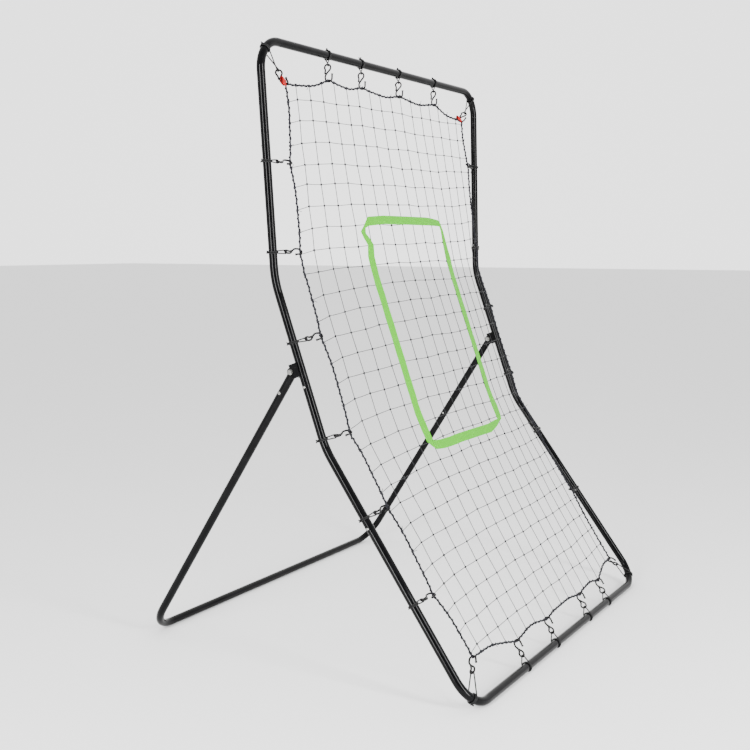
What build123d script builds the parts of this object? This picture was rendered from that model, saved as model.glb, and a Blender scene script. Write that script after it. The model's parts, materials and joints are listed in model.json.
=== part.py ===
"""Pitch back rebounder: a tubular steel frame holding a tensioned net, on a folding rear stand.

Frame: X across, left side at -X. Y from the player (-Y) to the rear stand (+Y). Z up, floor at Z = 0.
The origin is on the floor, in the middle of the object's box. Millimetres.
The net's surface is described by x and by s, the distance up the side rails from the bottom tube.
"""
from build123d import *
import math
import os

# ---- Tube stock ----
TUBE_D = 19.0
TUBE_WALL = 1.0
SPIGOT_CLEAR = 0.2
SPIGOT_LEN = 45.0
COLLAR_LEN = 3.0
SEAM_GAP = 0.4

# ---- Front frame ----
FRAME_WIDTH = 1018.0
RAIL_BOW = 17.3
LOWER_LEN = 621.0
MIDDLE_LEN = 384.5
TOP_LEN = 516.0
LOWER_ANGLE = 53.5
MIDDLE_ANGLE = 70.0
TOP_ANGLE = 87.5
RAIL_BEND_R = 200.0
CORNER_R = 65.0
SEAM_LOW = 402.0
# How far the middle and top seams are above the bends below them.
SEAM_MID_UP = 118.0
SEAM_TOP_UP = 267.5

# ---- Rear stand ----
HINGE_ABOVE_SEAM = 63.0
HINGE_GAP = 3.0
STAND_REACH = 880.0
STAND_FLARE = 12.3
STAND_CORNER_R = 70.0
LEG_SEAM = 300.0
LEG_RIVET_AT = 58.0

# ---- Hinge bracket and its fasteners ----
CHEEK = 2.0
CHEEK_CLEAR = 0.6
WEB = 2.0
BRACKET_HALF_LEN = 16.0
BOLT_R = 3.0
BOLT_CLEAR = 0.08
HEAD_AF = 10.0
HEAD_H = 4.0
NUT_H = 5.0
WASHER_R = 6.2
WASHER_T = 1.2
FASTENER_GAP = 0.05

# ---- Snap buttons ----
BUTTON_R = 3.0
BUTTON_CLEAR = 0.2
BUTTON_PROUD = 2.5
BUTTON_AT = 22.0
FLANGE_LIP = 1.0
FLANGE_T = 1.0
SPRING_T = 0.6
SPRING_W = 6.0

# ---- Rivets on the legs ----
RIVET_R = 2.0
RIVET_HEAD_R = 3.6
RIVET_HEAD_H = 1.4
RIVET_GAP = 0.1

# ---- Net, rope, hooks, elastics ----
NET_T = 1.5
ROPE_R = 2.2
HOOK_WIRE_R = 1.5
HOOK_ARC_R = 4.7
HOOK_EYE_R = 5.5
HOOK_LEN = 27.0
ELASTIC_R = 1.2
WRAP_CORD_R = 1.3
WRAP_SLACK = 0.7
ELASTIC_SPREAD = 6.0
KNOT_R = 2.6
KNOT_GAP = 0.2
NET_EDGE_GAP = 6.0
RIBBON_W = 25.0
RIBBON_T = 1.0
RIBBON_GAP = 0.3
TAG_GAP = 0.5
SKIN_STEPS_X = 4
SKIN_STEPS_S = 14
TAG_SIZE = (30.0, 13.0, 1.6)
# How far each tag's middle is outside its corner of the rope, and how far its top edge is below it.
TAG_OUTSIDE = {-1: 12.0, 1: -19.0}
TAG_BELOW = {-1: 5.0, 1: 0.0}

# Where each hook holds the rope. Bars are given by x, and rails by s.
TOP_HOOK_X = (-250.0, -105.0, 75.0, 264.0)
TOP_CATCH_DOWN = 56.5
BOTTOM_HOOK_X = (-240.0, -70.0, 143.0, 283.0)
BOTTOM_CATCH_S = 58.0
LEFT_HOOK_S = (240.0, 447.0, 641.0, 862.0, 1066.0, 1262.0)
RIGHT_HOOK_S = (300.0, 500.0, 690.0, 890.0, 1075.0, 1308.0)
SIDE_REACH = 64.0
CORNER_REACH = 94.0
ROPE_SAG_BAR = 17.0
ROPE_SAG_SIDE = 12.0
ROPE_CATCH_R = 8.0
ROPE_ARC_SHARE = 0.42
ROPE_ARC_MAX = 400.0
# How far the pull of the net draws its middle out of the frame towards the player, at heights s.
BULGE = ((0.0, 10.0), (80.0, 17.0), (300.0, 35.0), (500.0, 60.0), (621.0, 80.0), (1005.0, 80.0))
BULGE += ((1130.0, 57.0), (1322.0, 22.0), (1441.0, 4.0), (1521.5, 0.0))
BULGE_AT_ROPE = 0.46
ROPE_HALF_WIDTH = 442.0
# The strike zone's outer edges: half width, low and high.
ZONE_HALF_WIDTH = 207.0
ZONE_LOW = 523.0
ZONE_HIGH = 1157.0

TUBE_R = TUBE_D / 2
BORE_R = TUBE_R - TUBE_WALL
SPIGOT_R = BORE_R - SPIGOT_CLEAR
SPIGOT_BORE = SPIGOT_R - TUBE_WALL
HALF = FRAME_WIDTH / 2
FRONT_Y = -(STAND_REACH - 2 * WRAP_CORD_R - WRAP_SLACK) / 2
RAIL_LEN = LOWER_LEN + MIDDLE_LEN + TOP_LEN
SEAM_MID = LOWER_LEN + SEAM_MID_UP
SEAM_TOP = LOWER_LEN + MIDDLE_LEN + SEAM_TOP_UP
HINGE_S = SEAM_MID + HINGE_ABOVE_SEAM
PIVOT_BACK = TUBE_D + HINGE_GAP
STAND_HALF_WIDTH = HALF - RAIL_BOW + STAND_FLARE
FLANGE_R = BUTTON_R + FLANGE_LIP
TOP_CATCH_S = RAIL_LEN - TOP_CATCH_DOWN
CORNER_INSET = CORNER_R * (1 - math.sqrt(0.5))
CORNER_CATCH = CORNER_INSET + CORNER_REACH * math.sqrt(0.5)
CORNER_CATCH_X = HALF - CORNER_CATCH
TOP_CORNER_S = RAIL_LEN - CORNER_CATCH
BOTTOM_CORNER_S = CORNER_CATCH
SECTIONS = ((LOWER_LEN, LOWER_ANGLE), (MIDDLE_LEN, MIDDLE_ANGLE), (TOP_LEN, TOP_ANGLE))


def section_at(s):
    """The straight section of the rail that holds s: its start s, start point and unit direction in YZ."""
    start, y, z = 0.0, FRONT_Y, TUBE_R
    for length, angle in SECTIONS:
        way = (math.cos(math.radians(angle)), math.sin(math.radians(angle)))
        if s <= start + length or angle == TOP_ANGLE:
            return start, (y, z), way
        start += length
        y += length * way[0]
        z += length * way[1]


def on_frame(x, s, lift=0.0):
    """A point of the bent surface through the rails' axes, lifted towards the player."""
    start, (y, z), way = section_at(s)
    return Vector(x, y + (s - start) * way[0] - lift * way[1], z + (s - start) * way[1] + lift * way[0])


def bulge(x, s):
    """How far the net stands in front of the frame's surface."""
    for (low, start), (high, end) in zip(BULGE, BULGE[1:]):
        if s <= high:
            middle = start + (end - start) * (s - low) / (high - low)
            return middle * (1 - (1 - BULGE_AT_ROPE) * min(abs(x) / ROPE_HALF_WIDTH, 1) ** 2)
    return 0.0


def on_net(x, s):
    """A point of the net's surface."""
    return on_frame(x, s, bulge(x, s))


def up_rail(s):
    """Unit direction up the frame's surface at s."""
    way = section_at(s)[2]
    return Vector(0, way[0], way[1])


def to_player(s):
    """Unit normal of the frame's surface at s, towards the player."""
    way = section_at(s)[2]
    return Vector(0, -way[1], way[0])


def rail_x(s):
    """Distance of a side rail's axis from the middle plane."""
    if s < LOWER_LEN:
        return HALF - RAIL_BOW * s / LOWER_LEN
    if s < LOWER_LEN + MIDDLE_LEN:
        return HALF - RAIL_BOW
    return HALF - RAIL_BOW * (RAIL_LEN - s) / TOP_LEN


def rail(side, s):
    """A point on a side rail's axis."""
    return on_frame(side * rail_x(s), s)


def rounded(points, radii):
    """A path of straight runs joined by tangent arcs, one radius for each inner point."""
    edges, last = [], points[0]
    for before, corner, after, radius in zip(points, points[1:], points[2:], radii):
        into = (corner - before).normalized()
        out = (after - corner).normalized()
        half_turn = math.radians(into.get_angle(out)) / 2
        cut = radius * math.tan(half_turn)
        inward = (out - into).normalized()
        first = corner - into * cut
        end = corner + out * cut
        middle = corner + inward * (radius / math.cos(half_turn) - radius)
        edges += [Line(last, first), ThreePointArc(first, middle, end)]
        last = end
    return Wire(edges + [Line(last, points[-1])])


def corner_middle(side, end):
    """The middle of a rounded corner's arc, at the bottom or top end of a rail."""
    corner = rail(side, end)
    into = (corner - rail(side, abs(end - 1))).normalized()
    out = Vector(-side, 0, 0)
    half_turn = math.radians(into.get_angle(out)) / 2
    return corner + (out - into).normalized() * (CORNER_R / math.cos(half_turn) - CORNER_R)


def swept(path, outer, inner=0.0):
    """A round bar or tube along a path."""
    start = Plane(origin=path @ 0, z_dir=path % 0)
    section = Circle(outer) - Circle(inner) if inner else Circle(outer)
    return sweep(start * section, path=path)


def bar(a, b, radius, bore=0.0):
    """A straight round bar or tube from a to b."""
    body = Plane(origin=a, z_dir=b - a) * extrude(Circle(radius), (b - a).length)
    if not bore:
        return body
    return body - Plane(origin=a, z_dir=b - a) * extrude(Circle(bore), (b - a).length)


def with_spigot(tube, end, way):
    """A tube with a collar and a swaged spigot at its end, pointing along way."""
    collar = bar(end - way * COLLAR_LEN, end, BORE_R, SPIGOT_BORE)
    spigot = bar(end - way * COLLAR_LEN, end + way * SPIGOT_LEN, SPIGOT_R, SPIGOT_BORE)
    return tube + collar + spigot


class Button:
    """A snap button: a pin through both walls of a seam, on a leaf spring inside the spigot."""

    def __init__(self, name, seam, way, out):
        self.name = name
        self.out = out
        self.plane = Plane(origin=seam + way * BUTTON_AT, x_dir=way, z_dir=out)

    def hole(self):
        depth = FLANGE_T + TUBE_R + BUTTON_PROUD
        return self.plane * Pos(0, 0, TUBE_R) * Cylinder(BUTTON_R + BUTTON_CLEAR, depth / 1.6)

    def pin(self):
        lateral = math.sqrt(SPIGOT_BORE**2 - FLANGE_R**2) - BUTTON_CLEAR
        flange = Pos(0, 0, lateral - FLANGE_T / 2) * Cylinder(FLANGE_R, FLANGE_T)
        top = TUBE_R + BUTTON_PROUD
        stem = Pos(0, 0, (lateral + top) / 2) * Cylinder(BUTTON_R, top - lateral)
        stem = fillet(stem.edges().sort_by(Axis.Z)[-1], BUTTON_R * 0.55)
        return self.plane * (flange + stem)

    def spring(self):
        lateral = math.sqrt(SPIGOT_BORE**2 - FLANGE_R**2) - BUTTON_CLEAR
        high = lateral - FLANGE_T - BUTTON_PROUD - 0.3
        low = -math.sqrt(SPIGOT_BORE**2 - (SPRING_W / 2) ** 2) + 0.3
        upper = [(FLANGE_R + 3, high), (-14, high - 0.8), (-18, (high + low) / 2), (-14, low), (9, low)]
        lower = [(9, low + SPRING_T), (-13.6, low + SPRING_T), (-17.2, (high + low) / 2)]
        lower += [(-13.6, high - 0.8 - SPRING_T), (FLANGE_R + 3, high - SPRING_T)]
        leaf = make_face(Polyline(*upper, *lower, close=True))
        return self.plane * Rot(90, 0, 0) * extrude(leaf, SPRING_W / 2, both=True)


def pivot_point(side):
    """The centre of a leg's hinge bolt."""
    return rail(side, HINGE_S) - to_player(HINGE_S) * PIVOT_BACK


REAR = Vector(0, FRONT_Y + STAND_REACH, TUBE_R)


def leg_way(side):
    """Unit direction down a leg from its pivot."""
    foot = Vector(side * STAND_HALF_WIDTH, REAR.Y, REAR.Z)
    return (foot - pivot_point(side)).normalized()


def frame_buttons():
    """The six buttons of the front frame: the top pair faces back, the others face outwards."""
    found = []
    for side, word in ((-1, "left"), (1, "right")):
        for s, level in ((SEAM_LOW, "low"), (SEAM_MID, "mid"), (SEAM_TOP, "top")):
            way = (rail(side, s + 1) - rail(side, s)).normalized()
            out = -to_player(s) if level == "top" else Vector(side, 0, 0)
            out = (out - way * out.dot(way)).normalized()
            found.append(Button(f"snap_button_{level}_{word}", rail(side, s), way, out))
    return found


def stand_buttons():
    """The two buttons of the rear stand, facing inwards."""
    found = []
    for side, word in ((-1, "left"), (1, "right")):
        way = leg_way(side)
        seam = pivot_point(side) + way * LEG_SEAM
        out = Vector(-side, 0, 0)
        out = (out + way * side * way.X).normalized()
        found.append(Button(f"snap_button_leg_{word}", seam, -way, out))
    return found


def frame_tubes(buttons):
    """The closed loop of the front frame, in six tubes that plug into each other."""
    tubes = {}
    ends = [rail(-1, SEAM_LOW), rail(-1, 0), rail(1, 0), rail(1, SEAM_LOW)]
    bottom = swept(rounded(ends, [CORNER_R, CORNER_R]), TUBE_R, BORE_R)
    for side in (-1, 1):
        way = (rail(side, SEAM_LOW) - rail(side, 0)).normalized()
        bottom = with_spigot(bottom, rail(side, SEAM_LOW), way)
    tubes["bottom_frame_tube"] = bottom
    for side, word in ((-1, "left"), (1, "right")):
        way = (rail(side, SEAM_LOW) - rail(side, 0)).normalized()
        route = [rail(side, SEAM_LOW) + way * SEAM_GAP, rail(side, LOWER_LEN), rail(side, SEAM_MID)]
        lower = swept(rounded(route, [RAIL_BEND_R]), TUBE_R, BORE_R)
        tubes[f"lower_side_tube_{word}"] = with_spigot(lower, rail(side, SEAM_MID), up_rail(SEAM_MID))
        way = (rail(side, SEAM_TOP) - rail(side, LOWER_LEN + MIDDLE_LEN + 1)).normalized()
        route = [rail(side, SEAM_MID + SEAM_GAP), rail(side, LOWER_LEN + MIDDLE_LEN), rail(side, SEAM_TOP)]
        upper = swept(rounded(route, [RAIL_BEND_R]), TUBE_R, BORE_R)
        tubes[f"upper_side_tube_{word}"] = with_spigot(upper, rail(side, SEAM_TOP), way)
    s = SEAM_TOP + SEAM_GAP
    ends = [rail(-1, s), rail(-1, RAIL_LEN), rail(1, RAIL_LEN), rail(1, s)]
    tubes["top_frame_tube"] = swept(rounded(ends, [CORNER_R, CORNER_R]), TUBE_R, BORE_R)
    pairs = {"low": ("bottom_frame_tube", "lower_side_tube_{}")}
    pairs["mid"] = ("lower_side_tube_{}", "upper_side_tube_{}")
    pairs["top"] = ("upper_side_tube_{}", "top_frame_tube")
    for button in buttons:
        level, word = button.name.split("_")[2:]
        for node in pairs[level]:
            tubes[node.format(word)] -= button.hole()
    return tubes


def stand_tubes(buttons):
    """The rear stand: two legs with domed pivot ends and the U-shaped base tube that plugs into them."""
    tubes, foot = {}, {}
    seams = {}
    for side, word in ((-1, "left"), (1, "right")):
        pivot, way = pivot_point(side), leg_way(side)
        seams[side] = pivot + way * LEG_SEAM
        foot[side] = Vector(side * STAND_HALF_WIDTH, REAR.Y, REAR.Z)
        leg = bar(pivot, seams[side] - way * SEAM_GAP, TUBE_R) + Pos(*pivot) * Sphere(TUBE_R)
        leg -= bar(pivot + way * TUBE_R, seams[side], BORE_R)
        leg -= Pos(*pivot) * Rot(0, 90, 0) * Cylinder(BOLT_R + BOLT_CLEAR, 2 * TUBE_D)
        rivet = pivot + way * LEG_RIVET_AT
        tubes[f"leg_tube_{word}"] = leg - Pos(*rivet) * Rot(0, 90, 0) * Cylinder(RIVET_R, 2 * TUBE_D)
    route = [seams[-1], foot[-1], foot[1], seams[1]]
    base = swept(rounded(route, [STAND_CORNER_R, STAND_CORNER_R]), TUBE_R, BORE_R)
    for side in (-1, 1):
        base = with_spigot(base, seams[side], -leg_way(side))
    tubes["rear_base_tube"] = base
    for button in buttons:
        word = button.name.split("_")[-1]
        tubes[f"leg_tube_{word}"] -= button.hole()
        tubes["rear_base_tube"] -= button.hole()
    return tubes


def leg_rivets():
    """A through rivet with two domed heads on each leg, below the hinge."""
    rivets = []
    for side in (-1, 1):
        centre = pivot_point(side) + leg_way(side) * LEG_RIVET_AT
        rivet = Cylinder(RIVET_R, TUBE_D + 2 * RIVET_GAP)
        for end in (-1, 1):
            head_z = end * (TUBE_R + RIVET_GAP + RIVET_HEAD_H / 2)
            rivet += Pos(0, 0, head_z) * Cylinder(RIVET_HEAD_R, RIVET_HEAD_H)
        rivets.append(Pos(*centre) * Rot(0, 90, 0) * rivet)
    return rivets


def hinge_bracket(side):
    """A channel bracket saddled on the back of a rail, with two cheeks that carry the hinge bolt."""
    pivot = pivot_point(side)
    half_gap = TUBE_R + CHEEK_CLEAR
    width = 2 * (half_gap + CHEEK)
    local = Plane(origin=rail(side, HINGE_S), x_dir=-to_player(HINGE_S), z_dir=Vector(1, 0, 0))
    block = Pos(PIVOT_BACK / 2, 0, 0) * Box(PIVOT_BACK, 2 * BRACKET_HALF_LEN, width)
    block += Pos(PIVOT_BACK, 0, 0) * Cylinder(TUBE_R, width)
    slot_start = TUBE_R + WEB
    slot = Pos(slot_start + PIVOT_BACK, 0, 0) * Box(2 * PIVOT_BACK, 4 * BRACKET_HALF_LEN, 2 * half_gap)
    body = local * (block - slot)
    body -= bar(rail(side, HINGE_S - 30), rail(side, HINGE_S + 30), TUBE_R)
    return body - Pos(*pivot) * Rot(0, 90, 0) * Cylinder(BOLT_R, 2 * width)


def hinge_fasteners():
    """Bolts with their heads outside, washers under head and nut, and nuts inside."""
    bolts, washers, nuts = [], [], []
    face = TUBE_R + CHEEK_CLEAR + CHEEK
    for side in (-1, 1):
        pivot = Pos(*pivot_point(side)) * Rot(0, 90 * side, 0)
        under_head = face + WASHER_T
        length = under_head + face + WASHER_T + NUT_H + 2
        bolt = Pos(0, 0, under_head - length / 2) * Cylinder(BOLT_R, length)
        head = extrude(RegularPolygon(HEAD_AF / 2, 6, major_radius=False), HEAD_H)
        head = chamfer(head.edges().sort_by(Axis.Z)[-6:], 0.8)
        bolts.append(pivot * (bolt + Pos(0, 0, under_head) * head))
        for z in (face + WASHER_T / 2, -face - WASHER_T / 2):
            ring = Cylinder(WASHER_R, WASHER_T) - Cylinder(BOLT_R + FASTENER_GAP, WASHER_T)
            washers.append(pivot * Pos(0, 0, z) * ring)
        nut = extrude(RegularPolygon(HEAD_AF / 2, 6, major_radius=False) - Circle(BOLT_R), NUT_H)
        nuts.append(pivot * Pos(0, 0, -face - WASHER_T - NUT_H) * nut)
    return bolts, washers, nuts


def hook_model():
    """An S-hook. Local X points from the rope to the tube, local Y towards the player, rope at the origin."""
    tip = Pos(4, HOOK_ARC_R, 0) * Rot(0, 90, 0) * Cylinder(HOOK_WIRE_R, 8)
    tip += Pos(8, HOOK_ARC_R, 0) * Sphere(HOOK_WIRE_R)
    arc = Wire([ThreePointArc((0, HOOK_ARC_R), (-HOOK_ARC_R, 0), (0, -HOOK_ARC_R))])
    shank_end = Vector(HOOK_LEN - HOOK_EYE_R, 0, 0)
    knee = Vector(0, -HOOK_ARC_R, 0)
    eye = Pos(HOOK_LEN, 0, 0) * Torus(HOOK_EYE_R, HOOK_WIRE_R)
    bend = Pos(*knee) * Sphere(HOOK_WIRE_R)
    return tip + swept(arc, HOOK_WIRE_R) + bend + bar(knee, shank_end, HOOK_WIRE_R) + eye


def elastic_model(reach):
    """An elastic loop from a hook's eye round a tube whose axis is at local X = reach, along local Z."""
    wrap_r = TUBE_R + WRAP_CORD_R + WRAP_SLACK
    near = reach - wrap_r - ELASTIC_R / 2
    inside_eye = HOOK_LEN + HOOK_EYE_R - HOOK_WIRE_R - ELASTIC_R - 0.15
    side = HOOK_WIRE_R + ELASTIC_R + 0.4
    turn_at = min(inside_eye + 5.0, near - 2.0)
    route = [(near, ELASTIC_SPREAD), (turn_at, side), (inside_eye, side), (inside_eye, -side)]
    route += [(turn_at, -side), (near, -ELASTIC_SPREAD)]
    points = [Vector(a, 0, b) for a, b in route]
    strands = swept(rounded(points, [2.0, side - 0.2, side - 0.2, 2.0]), ELASTIC_R)
    for end in (-1, 1):
        strands += Pos(reach, 0, end * ELASTIC_SPREAD) * Torus(wrap_r, WRAP_CORD_R)
    back = Vector(reach + wrap_r, 0, 0)
    strands += Pos(*back) * Cylinder(ELASTIC_R, 2 * ELASTIC_SPREAD)
    strands += Pos(reach + TUBE_R + KNOT_R + KNOT_GAP, 0, 0) * Sphere(KNOT_R)
    return strands


def side_x(s):
    """Half the rope's width at a side hook, where the hook and its elastic span SIDE_REACH to the rail."""
    out_of_plane = bulge(ROPE_HALF_WIDTH, s)
    return rail_x(s) - math.sqrt(SIDE_REACH**2 - out_of_plane**2)


def catches():
    """Each side's hooks: where the rope is caught, and the point of the tube's axis that it is tied to."""
    sides = {"top": [], "bottom": [], "left": [], "right": []}
    for x in TOP_HOOK_X:
        sides["top"].append((on_net(x, TOP_CATCH_S), on_frame(x, RAIL_LEN), TOP_CATCH_S))
    for x in BOTTOM_HOOK_X:
        sides["bottom"].append((on_net(x, BOTTOM_CATCH_S), on_frame(x, 0), BOTTOM_CATCH_S))
    for side, levels, word in ((-1, LEFT_HOOK_S, "left"), (1, RIGHT_HOOK_S, "right")):
        for s in levels:
            sides[word].append((on_net(side * side_x(s), s), rail(side, s), s))
    for side in (-1, 1):
        tied = corner_middle(side, RAIL_LEN)
        sides["top"].append((on_net(side * CORNER_CATCH_X, TOP_CORNER_S), tied, TOP_CORNER_S))
        tied = corner_middle(side, 0)
        sides["bottom"].append((on_net(side * CORNER_CATCH_X, BOTTOM_CORNER_S), tied, BOTTOM_CORNER_S))
    return sides


def place(catch):
    """The local plane of a hook: X to the tube, Y towards the player, Z along the tube."""
    held, tied, s = catch
    x_dir = tied - held
    return Plane(origin=held, x_dir=x_dir, z_dir=x_dir.cross(to_player(s)))


def rope_points():
    """The border rope's route, x and s, with a sagging point between hooks, from a knot low on the left."""
    pull = ROPE_CATCH_R * (1 / math.cos(math.radians(45)) - 1) * math.sqrt(0.5)
    corner_x = CORNER_CATCH_X + pull
    top, bottom = TOP_CORNER_S + pull, BOTTOM_CORNER_S - pull
    ring = [(-corner_x, bottom)] + [(-side_x(s), s) for s in LEFT_HOOK_S] + [(-corner_x, top)]
    ring += [(x, TOP_CATCH_S) for x in TOP_HOOK_X] + [(corner_x, top)]
    ring += [(side_x(s), s) for s in reversed(RIGHT_HOOK_S)] + [(corner_x, bottom)]
    ring += [(x, BOTTOM_CATCH_S) for x in reversed(BOTTOM_HOOK_X)] + [(-corner_x, bottom)]
    route = []
    for (x0, s0), (x1, s1) in zip(ring, ring[1:]):
        x, s = (x0 + x1) / 2, (s0 + s1) / 2
        if abs(s1 - s0) > abs(x1 - x0):
            x -= math.copysign(ROPE_SAG_SIDE, x)
        else:
            s -= math.copysign(ROPE_SAG_BAR, s - RAIL_LEN / 2)
        route += [(x0, s0), (x, s)]
    x, s = route[1]
    return route[1:] + [route[0], (x, s - 2 * ROPE_R)]


def border_rope():
    """The rope round the net, from its knot all the way round to the same knot."""
    points = [on_net(x, s) for x, s in rope_points()]
    radii = []
    for i in range(1, len(points) - 1):
        into, out = points[i] - points[i - 1], points[i + 1] - points[i]
        half_turn = math.radians(max(into.get_angle(out), 0.5)) / 2
        sag_radius = ROPE_ARC_SHARE * min(into.length, out.length) / math.tan(half_turn)
        radii.append(min(sag_radius, ROPE_ARC_MAX) if i % 2 == 0 else ROPE_CATCH_R)
    path = rounded(points, radii)
    rope = swept(path, ROPE_R)
    knot = (points[0] + points[-1]) / 2
    print("border rope length", round(path.length, 1), "smallest arc", min(radii))
    print("rope volume over section times length", round(rope.volume / (math.pi * ROPE_R**2 * path.length), 4))
    return rope + Pos(*knot) * Sphere(2 * ROPE_R)


def skin(half_width, low, high, thickness):
    """A thin sheet on the net's surface, between two heights, with its back on the net's middle."""
    across = [half_width * i / SKIN_STEPS_X for i in range(-SKIN_STEPS_X, SKIN_STEPS_X + 1)]
    levels = [low + (high - low) * i / SKIN_STEPS_S for i in range(SKIN_STEPS_S + 1)]
    face = Face.make_surface_from_array_of_points([[on_net(x, s) for s in levels] for x in across])
    return extrude(face, thickness, dir=(0, -1, 0))


def zone_prism(inset):
    """The strike zone's outline, inset by a width, as a prism along Y."""
    x = ZONE_HALF_WIDTH - inset
    low, high = on_net(x, ZONE_LOW + inset).Z, on_net(x, ZONE_HIGH - inset).Z
    return Pos(0, 0, (low + high) / 2) * Box(2 * x, 2 * STAND_REACH, high - low)


def net_edges():
    """The net body's half width, low and high edges, just inside the rope."""
    half_width = min(side_x(s) for s in LEFT_HOOK_S + RIGHT_HOOK_S) - ROPE_SAG_SIDE - ROPE_R - NET_EDGE_GAP
    half_width = min(half_width, CORNER_CATCH_X - NET_EDGE_GAP - ROPE_R)
    low = BOTTOM_CORNER_S + ROPE_SAG_BAR + ROPE_R + NET_EDGE_GAP
    return half_width, low, TOP_CORNER_S - ROPE_SAG_BAR - ROPE_R - NET_EDGE_GAP


def strike_zone():
    """The flat ribbon rectangle in front of the net."""
    sheet = Pos(0, -NET_T - RIBBON_GAP, 0) * skin(*net_edges(), RIBBON_T)
    return (sheet & zone_prism(0)) - zone_prism(RIBBON_W)


def corner_tag(side):
    """A small cloth tag on the rope at a top corner. The left one sticks out, the right one lies inside."""
    width, height, thick = TAG_SIZE
    s = TOP_CORNER_S - TAG_BELOW[side] - height / 2
    x = side * (CORNER_CATCH_X + TAG_OUTSIDE[side])
    centre = on_net(x, s) + to_player(s) * (ROPE_R + thick + TAG_GAP)
    return Plane(origin=centre, x_dir=Vector(1, 0, 0), z_dir=to_player(s)) * Box(width, height, thick)


def build():
    """Every node of the object, by name."""
    buttons, legs = frame_buttons(), stand_buttons()
    nodes = frame_tubes(buttons) | stand_tubes(legs)
    for side, word in ((-1, "left"), (1, "right")):
        nodes[f"hinge_bracket_{word}"] = hinge_bracket(side)
        nodes[f"corner_tag_{word}"] = corner_tag(side)
    nodes["hinge_bolts"], nodes["hinge_washers"], nodes["hinge_nuts"] = hinge_fasteners()
    nodes["leg_rivets"] = leg_rivets()
    for button in buttons + legs:
        nodes[button.name] = button.pin()
    nodes["frame_button_springs"] = [button.spring() for button in buttons]
    nodes["leg_button_springs"] = [button.spring() for button in legs]
    hook = hook_model()
    above_floor = Pos(0, 0, 1000) * Box(4000, 4000, 2000)
    for word, held in catches().items():
        nodes[f"{word}_hooks"] = [place(catch) * hook for catch in held]
        loops = [place(catch) * elastic_model((catch[1] - catch[0]).length) for catch in held]
        nodes[f"{word}_elastics"] = [loop & above_floor if word == "bottom" else loop for loop in loops]
    nodes["net_panel"] = skin(*net_edges(), NET_T)
    nodes["border_rope"] = border_rope()
    nodes["strike_zone_ribbon"] = strike_zone()
    return nodes


if __name__ == "__main__":
    os.makedirs("parts", exist_ok=True)
    for name, shape in build().items():
        if isinstance(shape, list):
            shape = Compound(children=[solid for piece in shape for solid in piece.solids()])
        export_step(shape, f"parts/{name}.step")
    for side in (-1, 1):
        print("pivot", side, pivot_point(side), "leg direction", leg_way(side))
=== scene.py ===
# %% [markdown]
# # A pitch back rebounder, finished in Blender
#
# The object is a bent steel tube frame with a knotted string net hooked into it. A rear stand folds
# on two bolts. The tubes, brackets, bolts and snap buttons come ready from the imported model. This
# lesson adds what a drawing of solids can't show: string, twisted rope, braided elastic, woven
# ribbon and the finish of every surface.

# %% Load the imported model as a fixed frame
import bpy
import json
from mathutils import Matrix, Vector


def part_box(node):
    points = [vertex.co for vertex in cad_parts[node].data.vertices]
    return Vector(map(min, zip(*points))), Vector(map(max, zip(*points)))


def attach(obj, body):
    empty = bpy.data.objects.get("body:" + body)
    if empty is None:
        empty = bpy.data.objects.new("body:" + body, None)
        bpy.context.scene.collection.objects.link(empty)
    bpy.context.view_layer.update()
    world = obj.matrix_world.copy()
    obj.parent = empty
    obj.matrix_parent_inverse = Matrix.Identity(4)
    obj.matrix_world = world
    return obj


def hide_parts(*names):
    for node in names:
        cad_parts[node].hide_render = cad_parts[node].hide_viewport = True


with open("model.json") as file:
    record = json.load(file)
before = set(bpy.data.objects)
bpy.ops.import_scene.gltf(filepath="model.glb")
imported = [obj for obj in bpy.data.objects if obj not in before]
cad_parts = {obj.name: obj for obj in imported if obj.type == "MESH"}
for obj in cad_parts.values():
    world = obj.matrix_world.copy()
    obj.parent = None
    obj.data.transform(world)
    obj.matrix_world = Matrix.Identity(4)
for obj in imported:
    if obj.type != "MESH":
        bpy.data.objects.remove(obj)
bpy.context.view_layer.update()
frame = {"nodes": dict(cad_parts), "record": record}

# %% The modules that the lesson needs
import json
import math
import random

import bmesh
import bpy
from mathutils import Matrix, Vector

MM = 0.001
random.seed(7)

# %% [markdown]
# ## The camera first
#
# A camera at waist height, in front and to the left, shows the net's curve and the rear stand
# together. It looks down by about seven degrees and isn't rolled.

# %% The camera
CAMERA_PLACE = (-2.3851, -1.3640, 0.9452)
CAMERA_PITCH = math.radians(83.286)
CAMERA_HEADING = math.radians(-58.31)
camera_data = bpy.data.cameras.new("camera")
camera_data.lens = 51.65
camera_data.sensor_width = 36.0
camera_data.shift_y = -0.0039
camera = bpy.data.objects.new("camera", camera_data)
camera.location = CAMERA_PLACE
camera.rotation_euler = (CAMERA_PITCH, 0.0, CAMERA_HEADING)
bpy.context.scene.collection.objects.link(camera)
bpy.context.scene.camera = camera
print("camera lens", camera_data.lens)

# %% [markdown]
# ## Where the net is
#
# The rails are bent twice, so the frame is a surface of three flat sections. A place on it has two
# numbers: x, across, and s, the distance up the rails from the bottom tube. The taut net stands in
# front of that surface, most in the middle. These few functions turn x and s into a point.

# %% The frame's sizes, repeated from the design
TUBE_R = 9.5 * MM
HALF_WIDTH = 509.0 * MM
RAIL_BOW = 17.3 * MM
SECTIONS = ((621.0 * MM, 53.5), (384.5 * MM, 70.0), (516.0 * MM, 87.5))
RAIL_LENGTH = sum(length for length, angle in SECTIONS)
CORNER_R = 65.0 * MM
FRONT_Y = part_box("bottom_frame_tube")[0].y + TUBE_R
print("rail length", round(RAIL_LENGTH, 4), "front tube at y", round(FRONT_Y, 4))


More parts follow.
